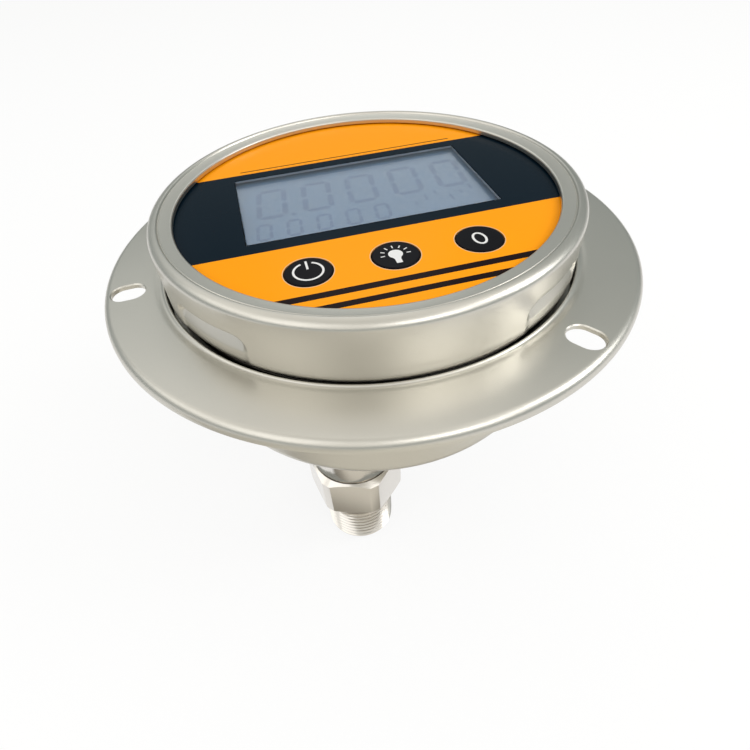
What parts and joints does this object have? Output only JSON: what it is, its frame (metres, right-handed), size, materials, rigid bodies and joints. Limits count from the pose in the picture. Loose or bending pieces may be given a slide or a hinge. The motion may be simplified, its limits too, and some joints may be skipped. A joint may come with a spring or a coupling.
{
  "type": "digital pressure gauge",
  "caption": "Round digital pressure gauge with a slotted panel flange, turning bezel ring, display window, press keys and a threaded connection low on its back.",
  "frame": {"origin": "on the dial's axis, in the plane of the flange's rear edge, which is the front of the panel that the gauge is fixed to", "axes": "+Z out of the dial along its axis, +Y to the dial's twelve o'clock, +X to its three o'clock"},
  "size_m": [0.13, 0.13, 0.1008],
  "materials": {
    "satin_steel": "bead-blasted stainless steel, satin",
    "turned_steel": "turned stainless steel with fine rings, bright",
    "plated_screw": "zinc-plated steel, bright",
    "overlay_film": "printed polyester film, glossy",
    "key_cap": "black cap, semi-gloss, with a pale printed mark",
    "clear_window": "clear acrylic, polished",
    "black_moulding": "moulded, fine grain",
    "white_moulding": "moulded, natural",
    "light_guide": "light guide, glossy",
    "display_glass": "display glass with polarisers",
    "circuit_board": "glass-fibre laminate with green solder resist",
    "chip_resin": "moulded epoxy",
    "capacitor_sleeve": "shrunk sleeve",
    "cell_jacket": "plain printed jacket",
    "seal_rubber": "nitrile rubber",
    "zebra_rubber": "layered silicone rubber",
    "brass": "plated brass",
    "lead_film": "flat film lead"
  },
  "bodies": {
    "gauge": {"case": "satin_steel", "flange": "satin_steel", "case_seal": "seal_rubber", "front_seal": "seal_rubber", "face_plate": "black_moulding", "front_overlay": "overlay_film", "lcd_window": "clear_window", "power_switch": "black_moulding", "light_switch": "black_moulding", "zero_switch": "black_moulding", "main_board": "circuit_board", "board_screws": "plated_screw", "lcd_glass": "display_glass", "lcd_frame": "black_moulding", "lcd_backlight": "light_guide", "zebra_strip": "zebra_rubber", "processor_chip": "chip_resin", "capacitors": "capacitor_sleeve", "sensor_plug": "white_moulding", "battery_holder": "black_moulding", "battery_cells": "cell_jacket", "battery_springs": "plated_screw", "battery_tabs": "brass", "holder_screws": "plated_screw", "pressure_stem": "turned_steel", "hex_connector": "turned_steel", "stem_seal": "seal_rubber", "stem_screws": "plated_screw", "sensor_cell": "turned_steel", "sensor_oring": "seal_rubber", "sensor_clamp_ring": "brass", "sensor_pins": "brass", "sensor_board": "circuit_board", "flat_lead": "lead_film"},
    "bezel": {"bezel_ring": "satin_steel"},
    "power_button": {"power_key": "key_cap", "power_plunger": "white_moulding"},
    "light_button": {"light_key": "key_cap", "light_plunger": "white_moulding"},
    "zero_button": {"zero_key": "key_cap", "zero_plunger": "white_moulding"}
  },
  "joints": [
    {"name": "bezel_turn", "type": "hinge", "parent": "gauge", "child": "bezel", "pos_m": [0, 0, 0.009], "axis": [0, 0, 1], "range_deg": [0, 30]},
    {"name": "power_press", "type": "slide", "parent": "gauge", "child": "power_button", "axis": [0, 0, -1], "range_m": [0, 0.0004], "stiffness_N_per_m": 1500, "springref_m": -0.0003},
    {"name": "light_press", "type": "slide", "parent": "gauge", "child": "light_button", "axis": [0, 0, -1], "range_m": [0, 0.0004], "stiffness_N_per_m": 1500, "springref_m": -0.0003},
    {"name": "zero_press", "type": "slide", "parent": "gauge", "child": "zero_button", "axis": [0, 0, -1], "range_m": [0, 0.0004], "stiffness_N_per_m": 1500, "springref_m": -0.0003}
  ]
}
